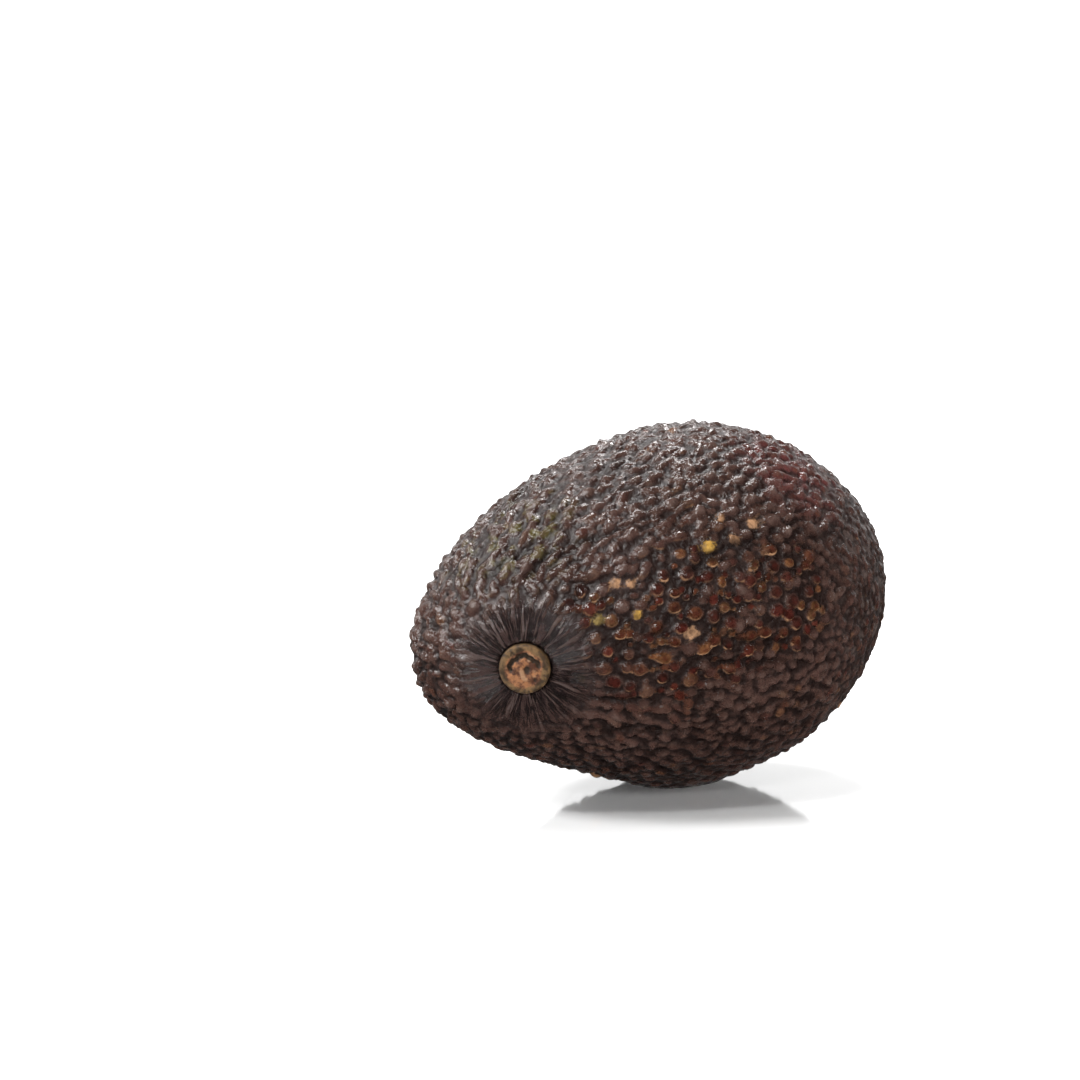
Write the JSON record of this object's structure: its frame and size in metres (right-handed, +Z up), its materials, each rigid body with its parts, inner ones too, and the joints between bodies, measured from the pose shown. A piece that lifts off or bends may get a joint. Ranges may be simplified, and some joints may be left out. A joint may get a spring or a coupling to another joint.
{
  "type": "avocado",
  "caption": "Whole avocado with a dark pebbled skin, lying on its side on a small flat spot, with the corky stem button seated in its scar.",
  "frame": {"origin": "on the floor under the middle of the fruit's box", "axes": "+Z up, +X along the fruit's length towards the blossom end, with the stem end at -X and the stem scar turned towards -X, -Y"},
  "size_m": [0.1022, 0.0694, 0.0707],
  "materials": {
    "skin": "dark purple-brown pebbled skin, semi-gloss with a dusty grey bloom and browned pebble tips",
    "cork": "dry, matt, cracked cork with an olive rim"
  },
  "bodies": {
    "root": {"fruit": "skin", "stem_button": "cork"}
  },
  "joints": []
}
